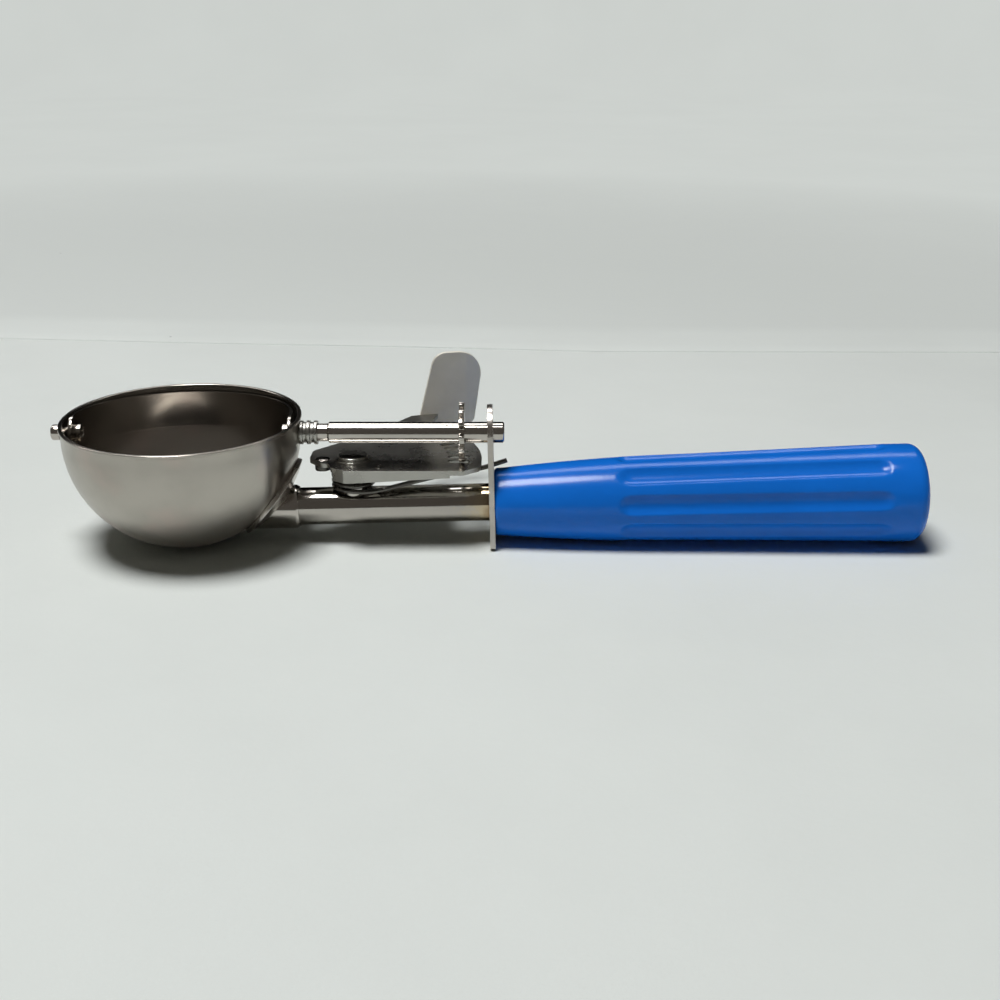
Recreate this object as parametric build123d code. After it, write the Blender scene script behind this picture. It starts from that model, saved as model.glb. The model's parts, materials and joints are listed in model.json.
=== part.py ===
from build123d import *
import os
from math import cos, radians, sin, sqrt, tan

os.makedirs("parts", exist_ok=True)

# A lever ice cream scoop. Sizes are in mm. The origin is the middle of the bowl's rim, +X runs along the
# handle and +Z is up. The scoop stands level with its bowl, its guard plate and the end of its grip on a table.

# ---- bowl
BOWL_R = 29.0  # outside radius
BOWL_WALL = 0.7
RIM_RISE = 3.5  # straight wall above the hemisphere
LIP_OVERHANG = 0.35  # the lip round the rim stands out this far
LIP_HEIGHT = 0.8
LIP_ROUNDING = 0.25
SADDLE_T = 1.2  # spherical pad that joins the shank to the bowl
SADDLE_ANGLE = 38.5  # how far its middle lies below the horizontal
SADDLE_HALF_ANGLE = 22.5

# ---- fits between pieces
RUNNING = 0.05  # radial gap of a shaft that turns in a hole
THRUST = 0.05  # gap between faces that slide on each other
CLEAR = 0.3  # gap between pieces that move past each other

# ---- spindle, which turns the scraper
SPINDLE_DROP = 0.5  # its axis lies this far below the hemisphere's centre
SPINDLE_R = 2.65
JOURNAL_R = 2.2
SPIGOT_R = 1.6
JOURNAL_BARE = 2.5  # length of journal that shows behind the bush
SPINDLE_TAIL = 2.3  # how far it stands out behind the guard
SPINDLE_CHAMFER = 0.35
BUSH_R = 2.95
BUSH_SPIGOT_R = 2.7
BUSH_LENGTH = 4.5
BUSH_RINGS = 5  # every second one is a groove
BUSH_GROOVE = 0.35  # depth of the grooves
PIN_HEAD_R = 1.95
PIN_HEAD_LENGTH = 2.2
PIN_HEAD_CHAMFER = 0.3
PIN_NECK_R = 1.5
PIN_NECK_LENGTH = 1.1
PIN_JOURNAL_R = 1.2

# ---- scraper
SCRAPER_T = 0.7
SCRAPER_WIDTH = 9.0
SCRAPER_REST_ANGLE = 4.5  # its middle line lies this far below the horizontal
HUB_R = 2.25
HUB_LENGTH = 1.9

# ---- pinion and slotted lever
PINION_TEETH = 13
PINION_R = 7.5  # over the tips
PINION_ROOT_R = 5.6
PINION_T = 1.4
TOOTH_TIP = 0.95  # width at the tip
TOOTH_ROOT = 1.9  # width at the root
MESH_DEPTH = 0.5  # how far the tips reach into the slots
PINION_INSET = 2.05  # from the slots' outer ends to the pinion's middle
PIVOT_REACH = 12.9  # from the bowl's side to the lever's pivot
LEVER_T = 1.2
LEVER_ROUNDING = 1.4  # of the near corners and round the hub
LEVER_EDGE = (  # the lever's outline round its hub, its nose and up its front edge, from the pivot
    (-1.5, -8.8),
    (-4.9, -6.4),
    (-5.6, -3.4),
    (-7.6, -3.3),
    (-10.9, 0.6),
    (-10.7, 6.2),
    (-4.6, 12.4),
    (8.6, 28.8),
    (12.7, 35.2),
)
SLOTS_PER_TURN = 48
SLOT_COUNT = 8
SLOT_WIDTH = 2.1
SLOT_LENGTH = 5.6
SLOT_OUTER_R = 29.3
SECTOR_MARGIN = 2.9  # plate beyond the slots
SECTOR_EDGE = ((0.0, -10.5), (0.2, 22.0), (1.0, 57.5))  # growth and angle at its near end, middle and far end
CORNER_ANGLE = -18.0  # the near rear corner
CORNER_INSET = 3.2  # of that corner, inside the sector's edge
SKIRT_DEPTH = 3.3  # turned-down edge at the hub
SKIRT_END_DEPTH = 1.6
SKIRT_START = -4.45  # its ends along the lever, from the pivot
SKIRT_END = 24.4
SKIRT_Y = -2.95  # the skirt follows the edge on this side of the pivot
TAB_ANGLE = 12.0  # the thumb tab's plane, seen from above
TAB_T = 1.2
TAB_FOOT = (15.0, 36.0)  # left end of its near face, from the pivot
TAB_WELD = 5.0  # length of the plate's edge that is welded to it
TAB_FOOT_ENDS = (-0.6, 15.3)  # ends of its lower edge, along the tab
TAB_TOP_ENDS = (4.4, 18.4)
TAB_HEIGHT = 17.2
TAB_DROP = 3.1  # how far the tab hangs below the plate's top
TAB_BEND = 12.9  # where the tab's rear strip turns back
TAB_BEND_ANGLE = 12.0
TAB_FRONT_ROUNDING = 4.2
TAB_REAR_ROUNDING = 6.5
TAB_FOOT_ROUNDING = 1.5

# ---- lever pivot
RIVET_HEAD_R = 3.7
RIVET_HEAD_T = 0.7
RIVET_R = 2.0
RIVET_DEPTH = 3.0  # of the shank in the post
WASHER_R = 4.5
WASHER_T = 0.4
POST_R = 3.2
NOSE_X = 7.6  # stop stud, ahead of the pivot
NOSE_R = 1.95
NOSE_CAP_R = 1.2
NOSE_CAP_RISE = 0.15  # above the plate
NOSE_LENGTH = 1.5  # below the plate

# ---- return spring
WIRE_R = 0.6
COIL_R = 4.9
COIL_TURNS = 2.7
COIL_PITCH = 1.3
COIL_STEPS = 8  # points of the path in each turn
HOOK_X = 6.9  # where its short end enters the lever, from the pivot
HOOK_Y = -5.6
HOOK_RISE = 0.4  # above the plate
HOOK_BEND = 1.2  # height of the bend below the lever
LEG_OUTER = ((4.4, 0.5, 0.7), (-2.0, 0.0, -1.4))  # long end: points from the guard, below the lever
LEG_INNER = ((-12.3, -2.2, -3.5), (-21.7, -3.7, -4.8))
LEG_DIP = 0.15  # height of the leg over the coil's first turn

# ---- shank, guard and grip, square to an axis that rises to the rear
SHANK_TILT = 1.38
SHANK_Z = -22.5  # height of the axis at the guard
SHANK_R = 4.75
SHANK_WALL = 1.0
SOCKET_R = 5.5
SOCKET_REACH = 5.8  # of the sleeve, beyond the saddle
SOCKET_CHAMFER = 1.0
GUARD_GAP = 6.85  # from the pinion's middle to the guard
GUARD_T = 1.4
GUARD_TOP_R = 7.0
GUARD_FOOT = 9.0  # half its width at the table
GUARD_CORNER = 1.5
GRIP_LENGTH = 107.2
GRIP_FRONT_R = 8.45
GRIP_SWELL = ((16.0, 9.75), (33.0, 10.7), (52.0, 11.15))  # distance from the grip's front and radius
BAND_LENGTH = 9.0  # plain band at the rear, which stands on the table
GRIP_NOSE_ROUNDING = 0.9
GRIP_END_ROUNDING = 3.0
GRIP_BORE_GAP = 0.05
SHANK_IN_GRIP = 92.0
FLUTE_COUNT = 9
FLUTE_R = 4.3  # radius of the groove's section
FLUTE_DEPTH = 1.0
FLUTE_START = 31.6  # from the grip's front
FLUTE_END = 97.2
FLUTE_START_R = 10.65  # of the grip's surface there
FLUTE_TURN = 12.0  # how far the first groove lies above the horizontal

LIP_R = BOWL_R + LIP_OVERHANG
SPHERE_Z = -RIM_RISE
TABLE_Z = -BOWL_R - RIM_RISE
SPINDLE_Z = SPHERE_Z - SPINDLE_DROP
BOWL_INNER_R = BOWL_R - BOWL_WALL
SCRAPER_R = BOWL_INNER_R - SPINDLE_DROP - CLEAR
SCRAPER_INNER_R = SCRAPER_R - SCRAPER_T
SLOT_INNER_R = SLOT_OUTER_R - SLOT_LENGTH
SECTOR_R = SLOT_OUTER_R + SECTOR_MARGIN
JOURNAL_END_X = BOWL_R + BUSH_LENGTH + JOURNAL_BARE
PIVOT_X = BOWL_R + PIVOT_REACH
PINION_X = PIVOT_X + SLOT_OUTER_R - PINION_INSET
GUARD_X = PINION_X + GUARD_GAP
SPINDLE_END_X = GUARD_X + GUARD_T + SPINDLE_TAIL
LEVER_TOP_Z = SPINDLE_Z - PINION_R + MESH_DEPTH
LEVER_BOTTOM_Z = LEVER_TOP_Z - LEVER_T
POST_TOP_Z = LEVER_BOTTOM_Z - THRUST - WASHER_T
SHANK_SLOPE = tan(radians(SHANK_TILT))
SHANK = Location((0, 0, SHANK_Z - GUARD_X * SHANK_SLOPE), (0, -SHANK_TILT, 0))
GRIP_X = GUARD_X + GUARD_T
BAND_X = GRIP_X + GRIP_LENGTH - BAND_LENGTH
BAND_R = SHANK_Z + (BAND_X - GUARD_X) * SHANK_SLOPE - TABLE_Z
SADDLE_OUTER = Pos(0, 0, SPHERE_Z) * Sphere(BOWL_R + SADDLE_T)
SPINDLE = Pos(0, 0, SPINDLE_Z)
PIVOT = Pos(PIVOT_X, 0, 0)


def turned(outline):
    """A solid turned about the X axis from (x, radius) points of one side."""
    points = [(outline[0][0], 0), *outline, (outline[-1][0], 0)]
    return revolve(Plane.XZ * make_face(Polyline(*points, close=True)), Axis.X)


def rod(start, end, radius):
    return turned([(start, radius), (end, radius)])


def upright(bottom, top, radius):
    """A round bar along Z."""
    return Pos(0, 0, (bottom + top) / 2) * Cylinder(radius, top - bottom)


def bar(start, end, radius):
    """A round bar between two points."""
    along = Vector(end) - Vector(start)
    return extrude(Plane(start, z_dir=along) * Circle(radius), along.length)


def sphere_x(radius, offset):
    """How far out along X a sphere reaches at this distance from the axis."""
    return sqrt(radius**2 - offset**2)


def bowl():
    """Spun bowl, a hemisphere with a short straight wall and a lip."""
    outer = CenterArc((0, SPHERE_Z), BOWL_R, -90, 90)
    wall = Polyline(
        outer @ 1,
        (BOWL_R, -LIP_HEIGHT),
        (LIP_R, -LIP_HEIGHT),
        (LIP_R, 0),
        (BOWL_INNER_R, 0),
        (BOWL_INNER_R, SPHERE_Z),
    )
    inner = CenterArc((0, SPHERE_Z), BOWL_INNER_R, 0, -90)
    section = make_face(outer + wall + inner + Line(inner @ 1, outer @ 0))
    body = revolve(Plane.XZ * section, Axis.Z)
    rim = body.edges().filter_by(GeomType.CIRCLE).group_by(Axis.Z)[-1]
    body = fillet(rim, LIP_ROUNDING)
    body -= SPINDLE * rod(-LIP_R, 0, PIN_NECK_R)
    body -= SPINDLE * rod(0, LIP_R, BUSH_SPIGOT_R)
    return body


def bowl_saddle():
    """Spherical pad on the bowl, round the foot of the shank."""
    inside = CenterArc((0, 0), BOWL_R, 0, SADDLE_HALF_ANGLE)
    outside = CenterArc((0, 0), BOWL_R + SADDLE_T, 0, SADDLE_HALF_ANGLE)
    section = make_face(inside + Line(inside @ 1, outside @ 1) + outside + Line(outside @ 0, inside @ 0))
    pad = revolve(Plane.XZ * section, Axis.X)
    return Pos(0, 0, SPHERE_Z) * Rot(0, SADDLE_ANGLE, 0) * pad


def shank_socket():
    """Sleeve that holds the shank's front end against the saddle."""
    start = BOWL_R / 2
    drop = SPHERE_Z - SHANK_Z + (GUARD_X - BOWL_R) * SHANK_SLOPE
    end = sphere_x(BOWL_R + SADDLE_T, drop) + SOCKET_REACH
    sleeve = turned([
        (start, SOCKET_R),
        (end - SOCKET_CHAMFER, SOCKET_R),
        (end, SOCKET_R - SOCKET_CHAMFER / 2),
    ])
    sleeve -= rod(start, end, SHANK_R)
    return SHANK * sleeve - SADDLE_OUTER


def shank_tube():
    """Round tube from the bowl to deep inside the grip."""
    start = BOWL_R / 2
    end = GRIP_X + SHANK_IN_GRIP
    tube = rod(start, end, SHANK_R) - rod(start, end, SHANK_R - SHANK_WALL)
    return SHANK * tube - SADDLE_OUTER


def guard_plate():
    """Upright plate on the shank. It carries the spindle's tail and its foot stops the scoop from rolling."""
    top = (SPINDLE_Z - SHANK_Z) / cos(radians(SHANK_TILT))
    foot = TABLE_Z - SHANK_Z
    sides = Polyline((-GUARD_TOP_R, top), (-GUARD_FOOT, foot), (GUARD_FOOT, foot), (GUARD_TOP_R, top))
    outline = make_face(sides + CenterArc((0, top), GUARD_TOP_R, 0, 180))
    outline = fillet(outline.vertices().group_by(Axis.Y)[0], GUARD_CORNER)
    outline -= Circle(SHANK_R)
    plate = Pos(GUARD_X, 0, 0) * extrude(Plane.YZ * outline, GUARD_T)
    tail_hole = SPINDLE * rod(GUARD_X / 2, SPINDLE_END_X, SPINDLE_R + RUNNING + GUARD_T * SHANK_SLOPE)
    outer, inner = leg_points(LEG_OUTER)
    return SHANK * plate - tail_hole - PIVOT * bar(outer, inner, WIRE_R + CLEAR)


def handle_grip():
    """Moulded grip with long flutes."""
    end = GRIP_X + GRIP_LENGTH
    swell = [(GRIP_X + x, radius) for x, radius in GRIP_SWELL]
    side = Spline((GRIP_X, GRIP_FRONT_R), *swell, (BAND_X, BAND_R))
    outline = side + Polyline((BAND_X, BAND_R), (end, BAND_R), (end, 0), (GRIP_X, 0), (GRIP_X, GRIP_FRONT_R))
    grip = revolve(Plane.XZ * make_face(outline), Axis.X)
    circles = grip.edges().filter_by(GeomType.CIRCLE)
    grip = fillet(circles.group_by(Axis.X)[-1], GRIP_END_ROUNDING)
    circles = grip.edges().filter_by(GeomType.CIRCLE)
    grip = fillet(circles.group_by(Axis.X)[0], GRIP_NOSE_ROUNDING)
    for i in range(FLUTE_COUNT):
        grip -= Rot(i * 360 / FLUTE_COUNT - FLUTE_TURN, 0, 0) * flute_cutter()
    grip -= rod(GRIP_X, GRIP_X + SHANK_IN_GRIP + CLEAR, SHANK_R + GRIP_BORE_GAP)
    return SHANK * grip


def flute_cutter():
    """Round bar with ball ends, laid along the grip's near side."""
    reach = FLUTE_R - FLUTE_DEPTH
    front_y = FLUTE_START_R + reach
    rear_y = BAND_R + reach
    front = (GRIP_X + FLUTE_START + FLUTE_R / 2, -front_y, 0)
    rear = (GRIP_X + FLUTE_END - FLUTE_R / 2, -rear_y, 0)
    return bar(front, rear, FLUTE_R) + Pos(front) * Sphere(FLUTE_R) + Pos(rear) * Sphere(FLUTE_R)


def spindle_bush():
    """Grooved bearing bush, set in the bowl's rear wall."""
    ring = BUSH_LENGTH / BUSH_RINGS
    outline = [(SCRAPER_R + CLEAR, BUSH_SPIGOT_R), (BOWL_R, BUSH_SPIGOT_R)]
    for i in range(BUSH_RINGS):
        radius = BUSH_R - BUSH_GROOVE * (i % 2)
        outline += [(BOWL_R + i * ring, radius), (BOWL_R + (i + 1) * ring, radius)]
    bush = turned(outline) - rod(0, SPINDLE_END_X, JOURNAL_R + RUNNING)
    return SPINDLE * bush


def front_pivot_pin():
    """Headed pin through the bowl's front wall, on which the scraper's front end turns."""
    neck_end = -BOWL_INNER_R + CLEAR / 2
    head = -BOWL_R - PIN_NECK_LENGTH
    pin = turned([
        (head - PIN_HEAD_LENGTH, PIN_HEAD_R - PIN_HEAD_CHAMFER),
        (head - PIN_HEAD_LENGTH + PIN_HEAD_CHAMFER, PIN_HEAD_R),
        (head, PIN_HEAD_R),
        (head, PIN_NECK_R),
        (neck_end, PIN_NECK_R),
        (neck_end, PIN_JOURNAL_R),
        (hub_face() - BOWL_WALL, PIN_JOURNAL_R),
    ])
    return SPINDLE * pin


def hub_face():
    """The inner end of the front hub."""
    return HUB_LENGTH - sphere_x(SCRAPER_INNER_R, HUB_R)


def scraper_blade():
    """Thin spherical band, half a hoop, with a round eye at each end."""
    shell = Sphere(SCRAPER_R) - Sphere(SCRAPER_INNER_R)
    band = Pos(0, SCRAPER_R / 2, 0) * Box(2.5 * SCRAPER_R, SCRAPER_R, SCRAPER_WIDTH)
    eyes = rod(-SCRAPER_R, SCRAPER_R, SCRAPER_WIDTH / 2)
    blade = shell & (band + eyes)
    blade -= rod(-SCRAPER_R, 0, PIN_JOURNAL_R + RUNNING)
    blade -= rod(0, SCRAPER_R, SPIGOT_R)
    return SPINDLE * Rot(-SCRAPER_REST_ANGLE, 0, 0) * blade


def scraper_front_hub():
    """Collar inside the front eye, running on the front pin."""
    hub = rod(hub_face() - HUB_LENGTH, hub_face(), HUB_R)
    hub -= rod(-BOWL_R, 0, PIN_JOURNAL_R + RUNNING)
    return SPINDLE * hub


def scraper_rear_hub():
    """Collar that clamps the rear eye on the spindle's spigot."""
    hub = rod(-hub_face(), HUB_LENGTH - hub_face(), HUB_R) - rod(0, BOWL_R, SPIGOT_R)
    return SPINDLE * hub


def spindle_rod():
    """Stepped rod from the scraper to beyond the guard plate."""
    shoulder = sphere_x(SCRAPER_R, SPIGOT_R)
    shaft = turned([
        (-hub_face(), SPIGOT_R),
        (shoulder, SPIGOT_R),
        (shoulder, JOURNAL_R),
        (JOURNAL_END_X, JOURNAL_R),
        (JOURNAL_END_X + SPINDLE_CHAMFER, SPINDLE_R),
        (SPINDLE_END_X - SPINDLE_CHAMFER, SPINDLE_R),
        (SPINDLE_END_X, SPINDLE_R - SPINDLE_CHAMFER),
    ])
    return SPINDLE * shaft


def pinion():
    """Toothed wheel on the spindle. At rest its two lowest teeth stand in two slots of the lever."""
    wheel = Circle(PINION_ROOT_R)
    pitch = 360 / PINION_TEETH
    root_x = PINION_ROOT_R - TOOTH_ROOT / 2
    tooth = make_face(Polyline(
        (root_x, -TOOTH_ROOT / 2),
        (PINION_R, -TOOTH_TIP / 2),
        (PINION_R, TOOTH_TIP / 2),
        (root_x, TOOTH_ROOT / 2),
        close=True,
    ))
    for i in range(PINION_TEETH):
        wheel += Rot(0, 0, -90 + pitch * (i + 0.5)) * tooth
    wheel &= Circle(PINION_R)
    wheel -= Circle(SPINDLE_R)
    disc = extrude(Plane.YZ * wheel, PINION_T)
    return SPINDLE * Pos(PINION_X - PINION_T / 2, 0, 0) * disc


def on_sector(radius, angle):
    """A point of the lever, from its pivot."""
    return (radius * cos(radians(angle)), radius * sin(radians(angle)))


def lever_outline():
    """The lever's outline seen from above, with its pivot at the origin."""
    near_end, middle, far_end = [on_sector(SECTOR_R + growth, angle) for growth, angle in SECTOR_EDGE]
    edge = ThreePointArc(far_end, middle, near_end)
    corner = on_sector(SECTOR_R - CORNER_INSET, CORNER_ANGLE)
    weld = on_sector(TAB_WELD, TAB_ANGLE)
    weld_end = (TAB_FOOT[0] + weld[0], TAB_FOOT[1] + weld[1])
    sides = Polyline(near_end, corner, *LEVER_EDGE, TAB_FOOT, weld_end, far_end)
    outline = make_face(edge + sides)
    near_corners = [corner for corner in outline.vertices() if corner.Y < TAB_FOOT[1] / 2]
    return fillet(near_corners, LEVER_ROUNDING)


def lever_slots():
    """Radial slots that the pinion's teeth drop into as the lever swings."""
    pitch = 360 / SLOTS_PER_TURN
    middle = (SLOT_INNER_R + SLOT_OUTER_R) / 2
    length = SLOT_OUTER_R - SLOT_INNER_R
    slots = Sketch()
    for i in range(SLOT_COUNT):
        slots += Rot(0, 0, pitch * (i - 0.5)) * Pos(middle, 0) * SlotOverall(length, SLOT_WIDTH)
    return slots


def lever_skirt(outline):
    """The near edge turned down, deepest under the hub."""
    length = SKIRT_END - SKIRT_START
    wall = outline - offset(outline, -LEVER_T)
    wall &= Pos((SKIRT_START + SKIRT_END) / 2, SKIRT_Y - SECTOR_R / 2) * Rectangle(length, SECTOR_R)
    skirt = Pos(0, 0, -SKIRT_DEPTH) * extrude(wall, SKIRT_DEPTH - LEVER_T / 2)
    under = make_face(Polyline(
        (-length, -SKIRT_DEPTH),
        (0, -SKIRT_DEPTH),
        (length, -SKIRT_END_DEPTH),
        (length, -2 * SKIRT_DEPTH),
        (-length, -2 * SKIRT_DEPTH),
        close=True,
    ))
    return skirt - extrude(Plane.XZ * under, SECTOR_R, both=True)


def thumb_tab():
    """Upright tab welded to the lever's far corner, with a rounded top and a slightly turned rear strip."""
    front = make_face(Polyline(
        (TAB_FOOT_ENDS[0], -TAB_DROP),
        (TAB_TOP_ENDS[0], TAB_HEIGHT),
        (TAB_TOP_ENDS[1], TAB_HEIGHT),
        (TAB_FOOT_ENDS[1], -TAB_DROP),
        close=True,
    ))
    front = fillet(front.vertices().group_by(Axis.Y)[-1].sort_by(Axis.X)[0], TAB_FRONT_ROUNDING)
    front = fillet(front.vertices().group_by(Axis.Y)[-1].sort_by(Axis.X)[-1], TAB_REAR_ROUNDING)
    front = fillet(front.vertices().group_by(Axis.Y)[0], TAB_FOOT_ROUNDING)
    strip = on_sector(TAB_TOP_ENDS[1] - TAB_BEND + TAB_T, TAB_BEND_ANGLE)
    line = Polyline((TAB_FOOT_ENDS[0] - TAB_T, 0), (TAB_BEND, 0), (TAB_BEND + strip[0], strip[1]))
    plan = Pos(0, TAB_T / 2) * trace(line, TAB_T)
    tab = extrude(Plane.XZ * front, TAB_TOP_ENDS[1], both=True)
    tab &= Pos(0, 0, -TAB_DROP) * extrude(plan, TAB_DROP + TAB_HEIGHT)
    return PIVOT * Pos(*TAB_FOOT, LEVER_TOP_Z) * Rot(0, 0, TAB_ANGLE) * tab


def lever_plate():
    """Slotted sector plate with a turned-down edge."""
    outline = lever_outline()
    flat = outline - Circle(RIVET_R + RUNNING) - lever_slots()
    flat -= Pos(HOOK_X, HOOK_Y) * Circle(WIRE_R + CLEAR)
    flat -= Pos(-NOSE_X, 0) * Circle(NOSE_CAP_R)
    plate = Pos(0, 0, -LEVER_T) * extrude(flat, LEVER_T)
    return PIVOT * Pos(0, 0, LEVER_TOP_Z) * (plate + lever_skirt(outline))


def nose_stud():
    """Stud riveted through the lever's nose."""
    body = upright(-LEVER_T - NOSE_LENGTH, -LEVER_T, NOSE_R)
    body += upright(-LEVER_T, NOSE_CAP_RISE, NOSE_CAP_R)
    return PIVOT * Pos(-NOSE_X, 0, LEVER_TOP_Z) * body


def lever_post():
    """Post welded on the shank, which carries the lever and the spring's coil."""
    axis_z = SHANK_Z + (PIVOT_X - GUARD_X) * SHANK_SLOPE
    post = upright(axis_z, POST_TOP_Z, POST_R) - upright(POST_TOP_Z - RIVET_DEPTH, POST_TOP_Z, RIVET_R)
    return PIVOT * post - SHANK * rod(0, GUARD_X, SHANK_R)


def lever_rivet():
    """Low-headed rivet on which the lever swings."""
    seat = LEVER_TOP_Z + THRUST + WASHER_T
    head = upright(seat, seat + RIVET_HEAD_T, RIVET_HEAD_R)
    head = fillet(head.edges().group_by(Axis.Z)[-1], RIVET_HEAD_T / 2)
    return PIVOT * (head + upright(POST_TOP_Z - RIVET_DEPTH, seat, RIVET_R))


def washer(bottom):
    return PIVOT * (upright(bottom, bottom + WASHER_T, WASHER_R) - upright(bottom, bottom + WASHER_T, RIVET_R))


def rivet_washer():
    """Washer between the rivet's head and the lever."""
    return washer(LEVER_TOP_Z + THRUST)


def post_washer():
    """Washer between the post and the lever."""
    return washer(POST_TOP_Z)


def leg_points(points):
    """Points of the spring's long end, from the pivot."""
    return [(GUARD_X - PIVOT_X + x, y, LEVER_BOTTOM_Z + z) for x, y, z in points]


def spring_path():
    """Centre line of the spring, from its long end behind the guard, round the coil, to its hook in the lever."""
    shank_top = SHANK_Z + (PIVOT_X - GUARD_X) * SHANK_SLOPE + SHANK_R
    low = shank_top + WIRE_R + CLEAR / 2
    high = low + COIL_TURNS * COIL_PITCH
    points = leg_points(LEG_OUTER + LEG_INNER)
    points.append((2 * COIL_R, -COIL_R, low + LEG_DIP))
    steps = int(COIL_TURNS * COIL_STEPS)
    for i in range(steps + 1):
        turns = i * COIL_TURNS / steps
        x, y = on_sector(COIL_R, -90 - 360 * turns)
        points.append((x, y, low + turns * COIL_PITCH))
    points.append(((x + HOOK_X) / 2, (y + HOOK_Y) / 2, high))
    points.append((HOOK_X, HOOK_Y + WIRE_R, high + WIRE_R / 2))
    points.append((HOOK_X, HOOK_Y, high + HOOK_BEND))
    points.append((HOOK_X, HOOK_Y, LEVER_TOP_Z + HOOK_RISE))
    return Spline(*points)


def return_spring():
    """Torsion spring that brings the lever back."""
    path = spring_path()
    return PIVOT * sweep(Plane(path @ 0, z_dir=path % 0) * Circle(WIRE_R), path=path)


PIECES = {
    "bowl": bowl,
    "bowl_saddle": bowl_saddle,
    "shank_socket": shank_socket,
    "shank_tube": shank_tube,
    "guard_plate": guard_plate,
    "handle_grip": handle_grip,
    "spindle_bush": spindle_bush,
    "front_pivot_pin": front_pivot_pin,
    "scraper_blade": scraper_blade,
    "scraper_front_hub": scraper_front_hub,
    "scraper_rear_hub": scraper_rear_hub,
    "spindle_rod": spindle_rod,
    "pinion": pinion,
    "lever_plate": lever_plate,
    "thumb_tab": thumb_tab,
    "nose_stud": nose_stud,
    "lever_post": lever_post,
    "lever_rivet": lever_rivet,
    "rivet_washer": rivet_washer,
    "post_washer": post_washer,
    "return_spring": return_spring,
}

for name, piece in PIECES.items():
    export_step(piece(), f"parts/{name}.step")
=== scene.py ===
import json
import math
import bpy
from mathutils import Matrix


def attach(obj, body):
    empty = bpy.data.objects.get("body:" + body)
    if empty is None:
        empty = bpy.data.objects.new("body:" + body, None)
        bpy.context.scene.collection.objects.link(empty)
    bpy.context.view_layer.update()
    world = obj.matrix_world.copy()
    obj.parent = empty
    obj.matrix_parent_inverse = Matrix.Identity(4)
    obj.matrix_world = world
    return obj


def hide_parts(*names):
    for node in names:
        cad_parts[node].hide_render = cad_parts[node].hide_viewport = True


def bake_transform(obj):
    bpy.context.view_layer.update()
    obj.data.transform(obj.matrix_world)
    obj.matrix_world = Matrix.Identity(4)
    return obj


bl_info = {
    "name": "Lever ice cream scoop",
    "version": (1, 0, 0),
    "blender": (4, 5, 0),
    "location": "View3D > Sidebar > Scoop",
    "description": "Dresses the lever ice cream scoop and sets it on a pale cloth",
    "category": "Object",
}

import bmesh
import bpy
from bpy.props import FloatProperty, FloatVectorProperty, PointerProperty
from mathutils import Matrix, Vector

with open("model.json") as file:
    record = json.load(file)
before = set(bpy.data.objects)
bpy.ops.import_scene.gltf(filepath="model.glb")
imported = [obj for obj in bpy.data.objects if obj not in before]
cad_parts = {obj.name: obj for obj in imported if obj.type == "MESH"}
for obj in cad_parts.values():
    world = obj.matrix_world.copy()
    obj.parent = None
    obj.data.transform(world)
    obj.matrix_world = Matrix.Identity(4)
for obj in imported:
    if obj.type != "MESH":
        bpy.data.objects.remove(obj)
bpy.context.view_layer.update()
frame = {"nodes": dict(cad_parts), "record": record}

MM = 0.001
TABLE_Z = -32.5 * MM
SEAM = 0.0005 * MM  # points of a new piece that are nearer than this become one
CAD_SEAM = 0.001 * MM  # and so do points of a CAD piece
TURNED_STEPS = 48  # faces round a small turned piece

# the camera, in metres, with its lens and its sensor in mm
CAMERA_PLACE = (75.915 * MM, -318.497 * MM, 102.685 * MM)
CAMERA_PITCH = math.radians(21.342)
CAMERA_YAW = math.radians(0.497)
CAMERA_ROLL = math.radians(0.165)
CAMERA_LENS = 48.636
CAMERA_SENSOR = 36.0
CAMERA_SHIFT = -0.001
CAMERA_NEAR = 0.01

# the lamps: place, where they point, and width and height, in metres, and power in watts
CEILING_LAMP = ((-0.22, -0.17, 1.5), (0.07, 0.0, 0.0), (0.6, 0.6), 22.5)
REAR_STRIP = ((-0.5, 0.55, 0.95), (-0.5, 0.0, 0.0), (2.4, 0.28), 9.0)

# the room as it lights things, as it shows in reflections, and as the camera sees it
ROOM_LIGHT = (0.015, 0.014, 0.013)
ROOM_REFLECTED = (0.1, 0.093, 0.084)
ROOM_SEEN = (0.6, 0.61, 0.585)

# the rounding of the CAD pieces' edges
FLAT_ANGLE = math.radians(0.5)  # faces that meet at less are one flat face
SHARP_ANGLE = math.radians(32)  # an edge whose faces meet at more is rounded
EDGE_STEPS = 2

# the bowl, in mm
BOWL_R = 29.0
BOWL_WALL = 0.7
RIM_RISE = 3.5  # height of the rim over the middle of the bowl's sphere
LIP_OVERHANG = 0.35
LIP_HEIGHT = 0.8
LIP_ROUNDING = 0.25
LIP_UNDERSIDE = ((-0.3, 0.0), (-0.1, 0.06), (0.0, 0.15), (0.15, LIP_OVERHANG))  # rise and overhang
SPINDLE_Z = -4.0
PIN_HOLE_R = 1.5
BUSH_HOLE_R = 2.7
BOWL_STEPS = 256  # faces round the bowl
BOWL_ARC_STEPS = 60  # faces from its lowest point up to the middle of its sphere
LIP_STEPS = 5  # faces across each rounding of its lip

# the shank and its guard, in mm
SHANK_TILT = math.radians(1.38)
SHANK_Z = -22.5  # height of its axis at the guard
GUARD_X = 76.0
GUARD_T = 1.4

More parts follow.
